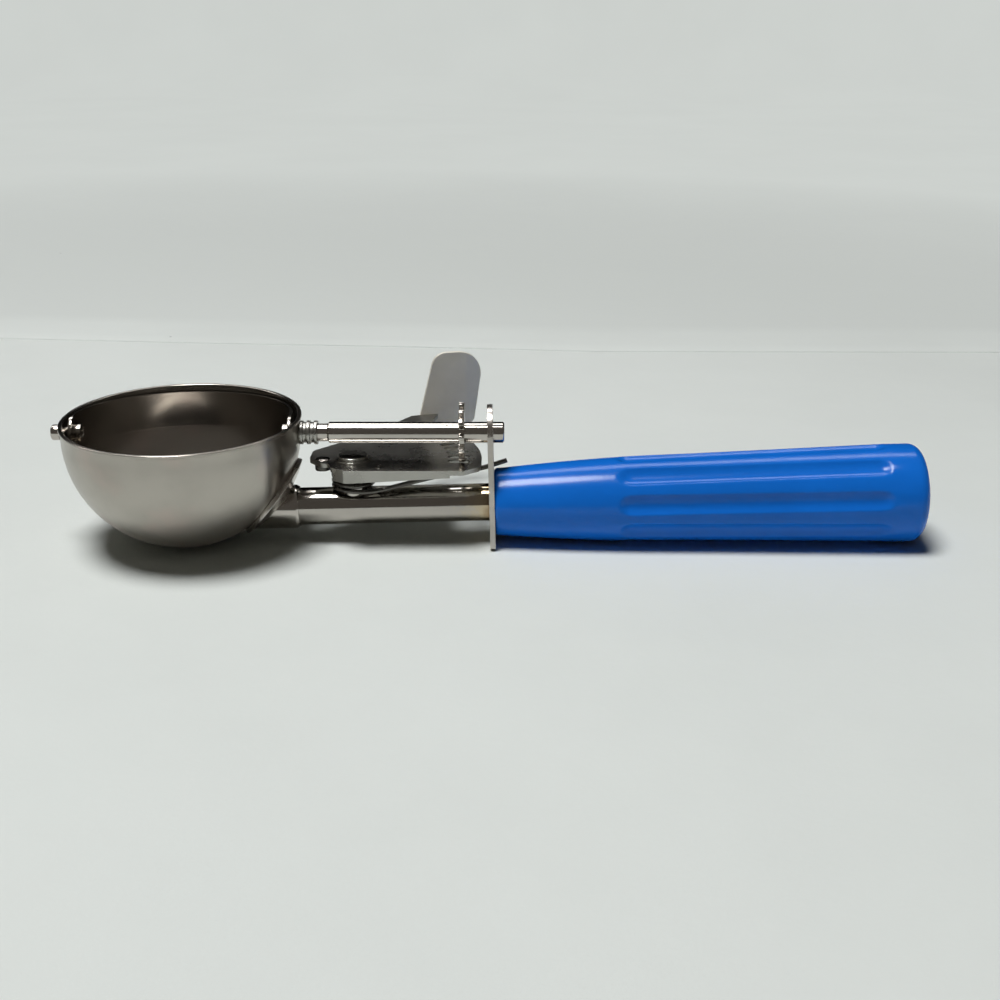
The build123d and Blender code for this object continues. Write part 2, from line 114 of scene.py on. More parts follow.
# the grip, in mm from its front end along the shank's axis
GRIP_LENGTH = 107.2
GRIP_BORE = (92.3, 4.8)  # depth and radius
GRIP_SIDE = ((0.0, 8.45), (16.0, 9.75), (33.0, 10.7), (52.0, 11.15), (98.2, 12.4))  # place and radius
GRIP_NOSE_ROUNDING = 0.9
GRIP_NOSE_STEPS = 6
GRIP_END_ROUNDING = 3.0
GRIP_END_STEPS = 12
GRIP_RING = 0.8  # length of one ring of faces
GRIP_STEPS = 360  # faces round it
FLUTE_COUNT = 9
FLUTE_R = 4.3
FLUTE_DEPTH = 1.0
FLUTE_ENDS = (33.75, 95.05)  # middles of the grooves' ball ends
FLUTE_SKIN = (10.65, 12.4)  # the grip's radius there
FLUTE_TURN = math.radians(12.0)

# the return spring, in mm from the lever's pivot; heights are from the rim
PIVOT_X = 41.9
WIRE_R = 0.6
WIRE_ROUNDNESS = 6  # how finely Blender rounds the wire
WIRE_STEPS = 6  # steps between two points of its line
SPRING_LEG = (
    (38.5, 0.5, -11.5),
    (35.3, 0.25, -12.5),
    (32.1, 0.0, -13.4),
    (23.8, -1.3, -14.5),
    (17.5, -2.4, -15.6),
    (12.5, -3.3, -16.6),
    (8.0, -4.2, -17.5),
    (4.0, -4.8, -17.95),
)
COIL_R = 4.9
COIL_TURNS = 2.7
COIL_LOW_Z = -17.82
COIL_PITCH = 1.3
COIL_STEPS = 8  # points of the line in one turn
SPRING_HOOK = ((5.8, -2.0, -14.3), (6.9, -5.0, -14.0), (6.9, -5.6, -13.0), (6.9, -5.6, -10.6))

# the head of the stop stud in the lever's nose, in mm
STUD_X = 34.3
LEVER_TOP_Z = -11.0
STUD_R = 1.9
STUD_RISE = 0.4
STUD_SINK = 0.1  # how far its foot goes into the lever
STUD_STEPS = 8  # faces from its edge to its top

# the cloth's crease, seen from above, in metres
CREASE = (
    (-3.0, 0.26),
    (-0.116, 0.2007),
    (-0.0365, 0.1937),
    (0.0416, 0.1886),
    (0.1182, 0.1815),
    (0.2709, 0.1807),
    (3.0, 0.18),
)
# a section across the crease: how far behind it and how high, in mm
CREASE_SHAPE = (
    (-6.0, 0.0),
    (-0.5, -0.1),
    (0.0, -0.1),
    (0.2, 0.35),
    (1.2, 0.7),
    (8.0, 0.9),
    (26.0, 0.6),
    (40.0, 0.3),
    (120.0, 0.0),
)
CREASE_SHADE_FROM = 26.0  # the cloth is painted a little darker behind this, as painted shade, in mm
CREASE_ANGLE = math.radians(30)  # an edge of the cloth that bends more stays sharp
CLOTH_ENDS = (-1.5, 1.1)  # the cloth's near and far ends, in metres behind the crease
# the sweep from its far end up a wall: how far behind that end and how high, in metres
CLOTH_SWEEP = ((0.0, 0.0), (0.06, 0.02), (0.1, 0.08), (0.1, 1.6))

# finishes, whose shares are of the colours that a user can change
BLACK = (0.0, 0.0, 0.0)
INSIDE_SHADE_SHARE = 0.9  # the bowl's inside, painted a little darker than its outside: painted shade
ROSY_SHARES = (1.03, 0.97, 0.97)  # red, green and blue of stained steel
STRAW_SHARES = (1.12, 1.0, 0.76)
BROWN_SHARES = (0.62, 0.46, 0.28)
STAIN_REACH = 9.0 * MM  # how far the heat stain goes from its weld
SCUFF_BLUE = (0.12, 0.3, 0.62)
CLOUDY_SHARE = 0.95  # the cloth's soft blotches
BEHIND_SHADE_SHARE = 0.93  # painted shade on the cloth behind its crease
WALL_SHARES = (0.81, 0.79)  # the plain wall and its blotches
CLOTH_FADE = (0.3, 0.7)  # metres from the bowl between which cloth turns to plain wall
LINT_GREY = (0.14, 0.14, 0.16)
LINT_SCALE = 42.0
LINT_CELLS = (0.86, 0.87)  # only the cells above this have a speck
LINT_SIZE = (0.012, 0.03)  # where a speck begins to fade and where it ends, in cells
LINT_STRENGTH = 0.7

# steels by name: colour, share of it, share of that where it is smudged, least and most
# roughness, stretch of its scratches along X, Y and Z, bump, and how metallic it is
STEELS = {
    # polished steel, for the scraper and its hubs in the bowl, is the bowl's colour painted a little darker:
    # painted shade
    "polished_steel": ("bowl_steel", INSIDE_SHADE_SHARE, 0.8, (0.17, 0.23), (1.0, 1.0, 0.3), 0.02, 1.0),
    "turned_steel": ("bright_steel", 1.15, 0.85, (0.1, 0.18), (0.3, 1.0, 1.0), 0.02, 1.0),
    "guard_steel": ("bright_steel", 1.25, 0.8, (0.24, 0.34), (1.0, 1.0, 1.0), 0.05, 1.0),
    "sheet_steel": ("pressed_steel", 1.0, 0.8, (0.24, 0.34), (1.0, 1.0, 1.0), 0.06, 1.0),
    # the thumb tab is the lever's pressed steel painted much lighter and mostly non-metallic, so it gathers
    # the cloth's light: painted light
    "tab_steel": ("tab_steel", 1.0, 0.9, (0.45, 0.55), (1.0, 1.0, 1.0), 0.06, 0.25),
    "wire_steel": ("spring_steel", 1.0, 0.8, (0.25, 0.35), (1.0, 1.0, 1.0), 0.05, 1.0),
}
SLOT_FINISHES = {
    "bright_steel": "turned_steel",
    "pressed_steel": "sheet_steel",
    "bowl_steel": "polished_steel",
}
FINISHES = {  # pieces whose finish isn't their slot's usual one
    "shank_tube": "welded_steel",
    "bowl_saddle": "guard_steel",
    "spindle_bush": "sheet_steel",
    "nose_stud": "wire_steel",
    "guard_plate": "guard_steel",
    "scraper_front_hub": "polished_steel",
    "scraper_rear_hub": "polished_steel",
    # the thumb tab gets a lighter copy of the pressed steel: painted light
    "thumb_tab": "tab_steel",
}
OWN_FORMS = ("bowl", "handle_grip", "return_spring")  # nodes whose new form has its own operator

# ---------------------------------------------------------------- colours and sizes that a user can change


def tint(name, description, default):
    """A colour that a user can change."""
    return FloatVectorProperty(
        name=name, description=description, subtype="COLOR", min=0.0, max=1.0, default=default
    )


class ScoopColours(bpy.types.PropertyGroup):
    """Colours of the finishes"""

    bowl_steel: tint("Bowl steel", "Colour of the spun bowl", (0.47, 0.44, 0.395))
    bright_steel: tint("Bright steel", "Colour of the rods, the shank and the guard", (0.46, 0.43, 0.395))
    pressed_steel: tint("Pressed steel", "Colour of the slotted lever", (0.40, 0.39, 0.36))
    # the thumb tab's colour is painted much lighter than the lever's: painted light
    tab_steel: tint("Tab steel", "Colour of the thumb tab", (0.88, 0.84, 0.74))
    spring_steel: tint("Spring steel", "Colour of the spring wire", (0.12, 0.115, 0.105))
    grip_blue: tint("Grip blue", "Colour of the moulded grip", (0.006, 0.165, 0.70))
    cloth: tint("Cloth", "Colour of the cloth under the scoop", (0.755, 0.79, 0.76))


class ScoopSizes(bpy.types.PropertyGroup):
    """Sizes of the small roundings"""

    edge_rounding: FloatProperty(
        name="Edge rounding",
        description="Width of the rounding on the edges of the steel pieces",
        unit="LENGTH",
        precision=5,
        min=0.0,
        default=0.12 * MM,
    )
    flute_softness: FloatProperty(
        name="Flute softness",
        description="How far the edges of the grip's flutes are rounded off",
        unit="LENGTH",
        precision=5,
        min=0.0,
        default=0.14 * MM,
    )


# ---------------------------------------------------------------- materials


def new_group(name, inputs, outputs):
    """A shader node group with these named inputs and outputs, and its two end nodes."""
    group = bpy.data.node_groups.new(name, "ShaderNodeTree")
    for label, kind, value in inputs:
        socket = group.interface.new_socket(name=label, in_out="INPUT", socket_type=kind)
        socket.default_value = value
    for label, kind in outputs:
        group.interface.new_socket(name=label, in_out="OUTPUT", socket_type=kind)
    return group, group.nodes.new("NodeGroupInput"), group.nodes.new("NodeGroupOutput")


def add(nodes, kind, **settings):
    """A new node with its settings."""
    node = nodes.new(kind)
    for key, value in settings.items():
        setattr(node, key, value)
    return node


def shaded(colour, share):
    """A colour made lighter or darker."""
    return [part * share for part in colour]


def tinted(colour, shares):
    """A colour with its red, green and blue each changed."""
    return [part * share for part, share in zip(colour, shares)]


def noise(tree, place, scale, detail, rough):
    """A cloudy pattern, from 0 to 1."""
    node = add(tree.nodes, "ShaderNodeTexNoise")
    node.inputs["Scale"].default_value = scale
    node.inputs["Detail"].default_value = detail
    node.inputs["Roughness"].default_value = rough
    tree.links.new(place, node.inputs["Vector"])
    return node.outputs["Fac"]


def remap(tree, value, low, high, to_low=0.0, to_high=1.0):
    """The value moved from one span to another, and kept within it."""
    node = add(tree.nodes, "ShaderNodeMapRange", clamp=True)
    for slot, number in zip(("From Min", "From Max", "To Min", "To Max"), (low, high, to_low, to_high)):
        node.inputs[slot].default_value = number
    tree.links.new(value, node.inputs["Value"])
    return node.outputs["Result"]


def blend_colours(tree, factor, first, second):
    """A mix of two colours, each a socket or a plain colour, by a socket."""
    node = add(tree.nodes, "ShaderNodeMix", data_type="RGBA")
    sockets = {socket.identifier: socket for socket in (*node.inputs, *node.outputs)}
    tree.links.new(factor, sockets["Factor_Float"])
    for name, value in (("A_Color", first), ("B_Color", second)):
        if hasattr(value, "is_linked"):
            tree.links.new(value, sockets[name])
        else:
            sockets[name].default_value = (*value, 1.0)
    return sockets["Result_Color"]


def combine(tree, operation, first, second=None):
    """One sum with one or two values."""
    node = add(tree.nodes, "ShaderNodeMath", operation=operation)
    tree.links.new(first, node.inputs[0])
    if second is not None:
        tree.links.new(second, node.inputs[1])
    return node.outputs[0]


def make_scratches():
    """Rubbed patches and the height of fine scratches."""
    group, start, end = new_group(
        "fine_scratches",
        [("Stretch", "NodeSocketVector", (1.0, 1.0, 1.0))],
        [("Smudges", "NodeSocketFloat"), ("Height", "NodeSocketFloat")],
    )
    place = add(group.nodes, "ShaderNodeTexCoord").outputs["Object"]
    stretched = add(group.nodes, "ShaderNodeVectorMath", operation="MULTIPLY")
    group.links.new(place, stretched.inputs[0])
    group.links.new(start.outputs["Stretch"], stretched.inputs[1])
    fine = noise(group, stretched.outputs[0], scale=2600.0, detail=2.0, rough=0.6)
    patches = noise(group, place, scale=60.0, detail=5.0, rough=0.6)
    group.links.new(remap(group, patches, 0.38, 0.66), end.inputs["Smudges"])
    group.links.new(fine, end.inputs["Height"])


def use_group(tree, name, **values):
    """A node group in a material, with its inputs set."""
    node = add(tree.nodes, "ShaderNodeGroup", node_tree=bpy.data.node_groups[name])
    for label, value in values.items():
        node.inputs[label].default_value = value
    return node


def plain_material(name):
    """A new material and its Principled shader."""
    material = bpy.data.materials.new(name)
    material.use_nodes = True
    return material, material.node_tree.nodes["Principled BSDF"]


def make_heat_tint():
    """Straw and brown stain beside a weld, as a ragged mask across the handle."""
    inputs = [("Weld", "NodeSocketFloat", 0.0), ("Reach", "NodeSocketFloat", STAIN_REACH)]
    group, start, end = new_group("heat_tint", inputs, [("Stain", "NodeSocketFloat")])
    place = add(group.nodes, "ShaderNodeTexCoord").outputs["Object"]
    along = add(group.nodes, "ShaderNodeSeparateXYZ")
    group.links.new(place, along.inputs[0])
    gap = combine(group, "ABSOLUTE", combine(group, "SUBTRACT", along.outputs["X"], start.outputs["Weld"]))
    ragged = remap(group, noise(group, place, scale=420.0, detail=3.0, rough=0.6), 0.3, 0.7, 0.45, 1.3)
    share = combine(group, "DIVIDE", gap, combine(group, "MULTIPLY", start.outputs["Reach"], ragged))
    group.links.new(remap(group, share, 0.0, 1.0, 1.0, 0.0), end.inputs["Stain"])


def make_steel(name, colour, dark, rough, stretch, bump, metallic=1.0):
    """Stainless steel, with scratches along one direction and duller smudges."""
    material, shader = plain_material(name)
    tree = material.node_tree
    wear = use_group(tree, "fine_scratches", Stretch=stretch)
    shader.inputs["Metallic"].default_value = metallic
    shade = blend_colours(tree, wear.outputs["Smudges"], colour, shaded(colour, dark))
    tree.links.new(shade, shader.inputs["Base Color"])
    dull = remap(tree, wear.outputs["Smudges"], 0.0, 1.0, *rough)
    tree.links.new(dull, shader.inputs["Roughness"])
    roughen(material, wear.outputs["Height"], strength=bump, distance=0.2 * MM)
    return material, shader


def add_bump(tree, height, strength, distance):
    """A bump from a height that varies over the surface."""
    ridge = add(tree.nodes, "ShaderNodeBump")
    ridge.inputs["Strength"].default_value = strength
    ridge.inputs["Distance"].default_value = distance
    tree.links.new(height, ridge.inputs["Height"])
    return ridge


def roughen(material, height, strength, distance):
    """Raises the surface of a material a little."""
    tree = material.node_tree
    ridge = add_bump(tree, height, strength, distance)
    tree.links.new(ridge.outputs["Normal"], tree.nodes["Principled BSDF"].inputs["Normal"])
    return ridge


def make_spun_steel(name, colour, rough, smear):
    """Spun steel, whose turning marks smear reflections up and down, with faint rosy stains."""
    material, shader = make_steel(name, colour, dark=0.9, rough=rough, stretch=(0.1, 0.1, 3.0), bump=0.03)
    tree = material.node_tree
    shader.inputs["Anisotropic"].default_value = smear
    shader.inputs["Anisotropic Rotation"].default_value = 0.25
    place = add(tree.nodes, "ShaderNodeTexCoord").outputs["Object"]
    stains = remap(tree, noise(tree, place, scale=70.0, detail=3.0, rough=0.5), 0.48, 0.62)
    clean = shader.inputs["Base Color"].links[0].from_socket
    shade = blend_colours(tree, stains, clean, tinted(colour, ROSY_SHARES))
    tree.links.new(shade, shader.inputs["Base Color"])


def make_welded_steel(colour):
    """Bright steel with a brown heat stain beside the guard's weld."""
    material, shader = make_steel(
        "welded_steel", colour, dark=0.92, rough=(0.09, 0.15), stretch=(0.3, 1.0, 1.0), bump=0.02
    )
    tree = material.node_tree
    stain = use_group(tree, "heat_tint", Weld=GUARD_X * MM, Reach=STAIN_REACH).outputs["Stain"]
    shade = shader.inputs["Base Color"].links[0].from_socket
    shade = blend_colours(tree, remap(tree, stain, 0.0, 0.8), shade, tinted(colour, STRAW_SHARES))
    shade = blend_colours(tree, remap(tree, stain, 0.8, 1.0), shade, tinted(colour, BROWN_SHARES))
    tree.links.new(shade, shader.inputs["Base Color"])


def make_grip_plastic(colour):
    """Glossy moulded plastic with slight ripples and faint rubbed marks."""
    material, shader = plain_material("grip_plastic")
    tree = material.node_tree
    place = add(tree.nodes, "ShaderNodeTexCoord").outputs["Object"]
    cloudy = noise(tree, place, scale=45.0, detail=4.0, rough=0.6)
    shade = blend_colours(tree, remap(tree, cloudy, 0.35, 0.7), colour, shaded(colour, 0.9))
    scuffs = noise(tree, place, scale=520.0, detail=4.0, rough=0.7)
    shade = blend_colours(tree, remap(tree, scuffs, 0.69, 0.78, 0.0, 0.25), shade, SCUFF_BLUE)
    tree.links.new(shade, shader.inputs["Base Color"])
    shader.inputs["Specular IOR Level"].default_value = 0.25
    marks = noise(tree, place, scale=900.0, detail=3.0, rough=0.7)
    tree.links.new(remap(tree, marks, 0.3, 0.75, 0.14, 0.24), shader.inputs["Roughness"])
    ripples = noise(tree, place, scale=260.0, detail=2.0, rough=0.5)
    roughen(material, ripples, strength=0.03, distance=0.6 * MM)


def lint_mask(tree, place):
    """A few small specks of lint, far apart."""
    specks = add(tree.nodes, "ShaderNodeTexVoronoi")
    specks.inputs["Scale"].default_value = LINT_SCALE
    tree.links.new(place, specks.inputs["Vector"])
    cell = add(tree.nodes, "ShaderNodeSeparateColor")
    tree.links.new(specks.outputs["Color"], cell.inputs[0])
    few = remap(tree, cell.outputs["Red"], *LINT_CELLS)
    dots = remap(tree, specks.outputs["Distance"], *LINT_SIZE, LINT_STRENGTH, 0.0)
    return combine(tree, "MULTIPLY", dots, few)


def fade_to_wall(tree, shader, place, cloth, wall):
    """Turns the cloth, far from the bowl, to a plain wall that only the camera sees as light."""
    far = add(tree.nodes, "ShaderNodeVectorMath", operation="LENGTH")
    tree.links.new(place, far.inputs[0])
    faded = remap(tree, far.outputs["Value"], *CLOTH_FADE)
    tree.links.new(blend_colours(tree, faded, cloth, BLACK), shader.inputs["Base Color"])
    tree.links.new(blend_colours(tree, faded, BLACK, wall), shader.inputs["Emission Color"])
    seen = add(tree.nodes, "ShaderNodeLightPath").outputs["Is Camera Ray"]
    tree.links.new(seen, shader.inputs["Emission Strength"])


def make_cloth(colour):
    """Pale woven cotton with soft wrinkles, a fine thread, a little lint and painted shade behind its
    crease.
    """
    material, shader = plain_material("cotton_cloth")
    tree = material.node_tree
    place = add(tree.nodes, "ShaderNodeTexCoord").outputs["Object"]
    cloudy = remap(tree, noise(tree, place, scale=9.0, detail=5.0, rough=0.6), 0.35, 0.7)
    shade = blend_colours(tree, cloudy, colour, shaded(colour, CLOUDY_SHARE))
    # the cloth behind its crease is painted a little darker: painted shade
    behind = add(tree.nodes, "ShaderNodeAttribute", attribute_name="behind_crease").outputs["Fac"]
    shade = blend_colours(tree, behind, shade, shaded(colour, BEHIND_SHADE_SHARE))
    shade = blend_colours(tree, lint_mask(tree, place), shade, LINT_GREY)
    wall = blend_colours(tree, cloudy, *(shaded(colour, share) for share in WALL_SHARES))
    fade_to_wall(tree, shader, place, shade, wall)
    shader.inputs["Roughness"].default_value = 0.95
    shader.inputs["Specular IOR Level"].default_value = 0.1
    wrinkles = noise(tree, place, scale=16.0, detail=6.0, rough=0.6)
    folds = roughen(material, wrinkles, strength=0.45, distance=2.0 * MM)
    weave = noise(tree, place, scale=1500.0, detail=2.0, rough=0.5)
    thread = add_bump(tree, weave, strength=0.35, distance=0.1 * MM)
    tree.links.new(thread.outputs["Normal"], folds.inputs["Normal"])


def paint(piece, finish):
    """Gives a piece one more finish. The first one covers all of it."""
    piece.data.materials.append(bpy.data.materials[finish])


# ---------------------------------------------------------------- meshes


def link_piece(name, mesh, body, finish):
    """Turns a bmesh into a smooth piece with a finish, which rides on a body if one is given."""
    bmesh.ops.recalc_face_normals(mesh, faces=mesh.faces)
    data = bpy.data.meshes.new(name)
    mesh.to_mesh(data)
    mesh.free()
    data.shade_smooth()
    piece = bpy.data.objects.new(name, data)
    bpy.context.scene.collection.objects.link(piece)
    paint(piece, finish)
    if body:
        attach(piece, body)
    return piece


def soften(node, rounding):
    """A copy of a pressed or turned piece with its sharp edges rounded off."""
    mesh = bmesh.new()
    mesh.from_mesh(frame["nodes"][node].data)
    bmesh.ops.remove_doubles(mesh, verts=mesh.verts, dist=CAD_SEAM)
    bmesh.ops.dissolve_limit(mesh, angle_limit=FLAT_ANGLE, verts=mesh.verts, edges=mesh.edges)
    sharp = [edge for edge in mesh.edges if edge.is_manifold and edge.calc_face_angle() > SHARP_ANGLE]
    bmesh.ops.bevel(
        mesh,
        geom=sharp,
        offset=rounding,
        offset_type="OFFSET",
        segments=EDGE_STEPS,
        profile=0.5,
        affect="EDGES",
        clamp_overlap=True,
        material=-1,
    )
    return mesh


def arc_points(centre, radius, start, end, steps):
    """Points of a circular arc, in degrees."""
    turns = [math.radians(start + (end - start) * i / steps) for i in range(steps + 1)]
    return [(centre[0] + radius * math.cos(t), centre[1] + radius * math.sin(t)) for t in turns]


def smooth_through(points, spacing):
    """A smooth line through a few points of a profile."""
    line = []
    for i in range(len(points) - 1):
        before = Vector(points[max(i - 1, 0)])
        first, second = Vector(points[i]), Vector(points[i + 1])
        after = Vector(points[min(i + 2, len(points) - 1)])
        run = second.x - first.x
        slope_in = (second - before) / (second.x - before.x) * run
        slope_out = (after - first) / (after.x - first.x) * run
        steps = round(run / spacing)
        for j in range(steps):
            t = j / steps
            bend = (2 * t**3 - 3 * t**2 + 1) * first + (t**3 - 2 * t**2 + t) * slope_in
            bend += (3 * t**2 - 2 * t**3) * second + (t**3 - t**2) * slope_out
            line.append((bend.x, bend.y))
    return line + [points[-1]]


def spin_profile(profile, axis, steps):
    """A form turned about the X or the Z axis, from (place along it, radius) points in mm."""
    mesh = bmesh.new()
    along = Vector((1, 0, 0)) if axis == "X" else Vector((0, 0, 1))
    across = Vector((0, 1, 0)) if axis == "X" else Vector((1, 0, 0))
    line = [mesh.verts.new((along * place + across * radius) * MM) for place, radius in profile]
    edges = [mesh.edges.new(pair) for pair in zip(line, line[1:])]
    bmesh.ops.spin(
        mesh,
        geom=line + edges,
        cent=(0.0, 0.0, 0.0),
        axis=along,
        angle=2 * math.pi,
        steps=steps,
        use_merge=True,
    )
    bmesh.ops.remove_doubles(mesh, verts=mesh.verts, dist=SEAM)
    return mesh


def make_bowl():
    """The spun bowl with its lip, before its two bearing holes."""
    inner_r = BOWL_R - BOWL_WALL
    outer_arc = arc_points((0, 0), BOWL_R, 90, 0, BOWL_ARC_STEPS)
    inner_arc = arc_points((0, 0), inner_r, 0, 90, BOWL_ARC_STEPS)
    outer_crest = (BOWL_R + LIP_OVERHANG - LIP_ROUNDING, -LIP_ROUNDING)
    inner_crest = (inner_r + LIP_ROUNDING, -LIP_ROUNDING)
    crest = arc_points(outer_crest, LIP_ROUNDING, 0, 90, LIP_STEPS)
    crest += arc_points(inner_crest, LIP_ROUNDING, 90, 180, LIP_STEPS)
    profile = [(-RIM_RISE - z, r) for r, z in outer_arc]
    profile += [(rise - LIP_HEIGHT, BOWL_R + overhang) for rise, overhang in LIP_UNDERSIDE]
    profile += [(z, r) for r, z in crest]
    profile += [(-RIM_RISE - z, r) for r, z in inner_arc]
    return spin_profile(profile, "Z", BOWL_STEPS)


def bar_along_x(start, end, radius):
    """A round bar about the spindle's axis (mm)."""
    mesh = spin_profile([(start, 0.0), (start, radius), (end, radius), (end, 0.0)], "X", TURNED_STEPS)
    bmesh.ops.translate(mesh, verts=mesh.verts, vec=(0.0, 0.0, SPINDLE_Z * MM))
    return mesh


def drill(piece, cutters):
    """Cuts bars out of a piece and keeps the cut mesh."""
    tools = []
    for mesh in cutters:
        data = bpy.data.meshes.new("drill")
        bmesh.ops.recalc_face_normals(mesh, faces=mesh.faces)
        mesh.to_mesh(data)
        mesh.free()
        tool = bpy.data.objects.new("drill", data)
        bpy.context.scene.collection.objects.link(tool)
        cut = piece.modifiers.new("hole", "BOOLEAN")
        cut.object = tool
        tools.append(tool)
    bpy.context.view_layer.update()
    solid = piece.evaluated_get(bpy.context.evaluated_depsgraph_get())
    data = bpy.data.meshes.new_from_object(solid)
    piece.modifiers.clear()
    piece.data = data
    for tool in tools:
        bpy.data.objects.remove(tool)


def grooved(place, radius, angle, softness):
    """The grip's radius once its flutes are cut (mm)."""
    front, rear = FLUTE_ENDS
    beyond = max(front - place, place - rear, 0.0)
    if beyond >= FLUTE_R:
        return radius
    cutter = math.sqrt(FLUTE_R**2 - beyond**2)
    share = min(max((place - front) / (rear - front), 0.0), 1.0)
    middle = FLUTE_SKIN[0] + (FLUTE_SKIN[1] - FLUTE_SKIN[0]) * share + FLUTE_R - FLUTE_DEPTH
    pitch = 2 * math.pi / FLUTE_COUNT
    turn = (angle - FLUTE_TURN + pitch / 2) % pitch - pitch / 2
    reach = cutter**2 - (middle * math.sin(turn)) ** 2
    if reach <= 0.0:
        return radius
    rise = middle * math.cos(turn) - math.sqrt(reach) - radius
    return radius + (rise - math.hypot(rise, softness)) / 2


def make_grip(softness):
    """The moulded grip with its flutes, a rounded nose, a rounded end and the bore for the shank."""
    side = [point for point in smooth_through(GRIP_SIDE, GRIP_RING) if point[0] > GRIP_NOSE_ROUNDING]
    shoulder = (GRIP_NOSE_ROUNDING, side[0][1] - GRIP_NOSE_ROUNDING)
    heel = (GRIP_LENGTH - GRIP_END_ROUNDING, GRIP_SIDE[-1][1] - GRIP_END_ROUNDING)
    nose = arc_points(shoulder, GRIP_NOSE_ROUNDING, 180, 95, GRIP_NOSE_STEPS)
    end = arc_points(heel, GRIP_END_ROUNDING, 90, 0, GRIP_END_STEPS)
    bore = [(GRIP_BORE[0], 0.0), GRIP_BORE, (0.0, GRIP_BORE[1])]
    mesh = spin_profile([*bore, *nose, *side, *end, (GRIP_LENGTH, 0.0)], "X", GRIP_STEPS)
    for vertex in mesh.verts:
        radius = math.hypot(vertex.co.y, vertex.co.z) / MM
        if radius > GRIP_SIDE[0][1]:
            angle = math.atan2(vertex.co.z, -vertex.co.y)
            cut = grooved(vertex.co.x / MM, radius, angle, softness / MM) / radius
            vertex.co.y *= cut
            vertex.co.z *= cut
    front = Matrix.Translation(((GUARD_X + GUARD_T) * MM, 0.0, 0.0))
    tilt = Matrix.Rotation(-SHANK_TILT, 4, "Y")
    height = (SHANK_Z - GUARD_X * math.tan(SHANK_TILT)) * MM
    bmesh.ops.transform(mesh, matrix=Matrix.Translation((0.0, 0.0, height)) @ tilt @ front, verts=mesh.verts)
    return mesh


def coil_points():
    """Points of the spring's coil, from the leg up to the hook (mm)."""
    steps = int(COIL_TURNS * COIL_STEPS)
    points = []
    for i in range(steps + 1):
        turns = i * COIL_TURNS / steps
        angle = -math.pi / 2 - 2 * math.pi * turns
        height = COIL_LOW_Z + turns * COIL_PITCH
        points.append((COIL_R * math.cos(angle), COIL_R * math.sin(angle), height))
    return points


def make_spring():
    """The spring's wire, on a smooth curve through its straight leg, its coil and its hook."""
    points = [*SPRING_LEG, *coil_points(), *SPRING_HOOK]
    wire = bpy.data.curves.new("spring_wire", "CURVE")
    wire.dimensions = "3D"
    wire.bevel_depth = WIRE_R * MM
    wire.bevel_resolution = WIRE_ROUNDNESS
    wire.use_fill_caps = True
    wire.resolution_u = WIRE_STEPS
    line = wire.splines.new("BEZIER")
    line.bezier_points.add(len(points) - 1)
    for knot, (x, y, z) in zip(line.bezier_points, points):
        knot.co = ((PIVOT_X + x) * MM, y * MM, z * MM)
        knot.handle_left_type = "AUTO"
        knot.handle_right_type = "AUTO"
    holder = bpy.data.objects.new("spring_wire", wire)
    bpy.context.scene.collection.objects.link(holder)
    bpy.context.view_layer.update()
    mesh = bmesh.new()
    mesh.from_mesh(bpy.data.meshes.new_from_object(holder))
    bmesh.ops.remove_doubles(mesh, verts=mesh.verts, dist=SEAM)
    bpy.data.objects.remove(holder)
    return mesh


def make_stud_head():
    """The low domed head of the stop stud."""
    dome_r = (STUD_R**2 + STUD_RISE**2) / (2 * STUD_RISE)
    half_angle = math.degrees(math.asin(STUD_R / dome_r))
    arc = arc_points((0.0, STUD_RISE - dome_r), dome_r, 90 - half_angle, 90, STUD_STEPS)
    profile = [(-STUD_SINK, 0.0), (-STUD_SINK, STUD_R), *((z, r) for r, z in arc)]
    mesh = spin_profile(profile, "Z", TURNED_STEPS)
    bmesh.ops.translate(mesh, verts=mesh.verts, vec=(STUD_X * MM, 0.0, LEVER_TOP_Z * MM))
    return mesh


def keep_flats(piece):
    """Leaves the flat faces flat, and the light on the rounded edges only."""
    flats = piece.modifiers.new("flat_faces", "WEIGHTED_NORMAL")
    flats.keep_sharp = True


# ---------------------------------------------------------------- stage


def lay_cloth():
    """A wide cloth with one pressed crease, which sweeps up to a pale wall far behind."""
    mesh = bmesh.new()
    behind = mesh.verts.layers.float.new("behind_crease")
    near, far = CLOTH_ENDS
    profile = [(near, 0.0, 0.0)]
    # the third number marks the cloth behind the crease, where its material paints shade
    profile += [(y * MM, z * MM, float(y > CREASE_SHADE_FROM)) for y, z in CREASE_SHAPE]
    profile += [(far + y, z, 1.0) for y, z in CLOTH_SWEEP]
    line = []
    for y, z, share in profile:
        vertex = mesh.verts.new((CREASE[0][0], CREASE[0][1] + y, TABLE_Z + z))
        vertex[behind] = share
        line.append(vertex)
    edges = [mesh.edges.new(pair) for pair in zip(line, line[1:])]
    for (x, y), (next_x, next_y) in zip(CREASE, CREASE[1:]):
        wide = bmesh.ops.extrude_edge_only(mesh, edges=edges)["geom"]
        edges = [item for item in wide if isinstance(item, bmesh.types.BMEdge)]
        moved = [item for item in wide if isinstance(item, bmesh.types.BMVert)]
        bmesh.ops.translate(mesh, verts=moved, vec=(next_x - x, next_y - y, 0.0))
    bmesh.ops.recalc_face_normals(mesh, faces=mesh.faces)
    data = bpy.data.meshes.new("cloth")
    mesh.to_mesh(data)
    mesh.free()
    data.shade_smooth()
    data.set_sharp_from_angle(angle=CREASE_ANGLE)
    sheet = bpy.data.objects.new("cloth", data)
    bpy.context.scene.collection.objects.link(sheet)
    paint(sheet, "cotton_cloth")


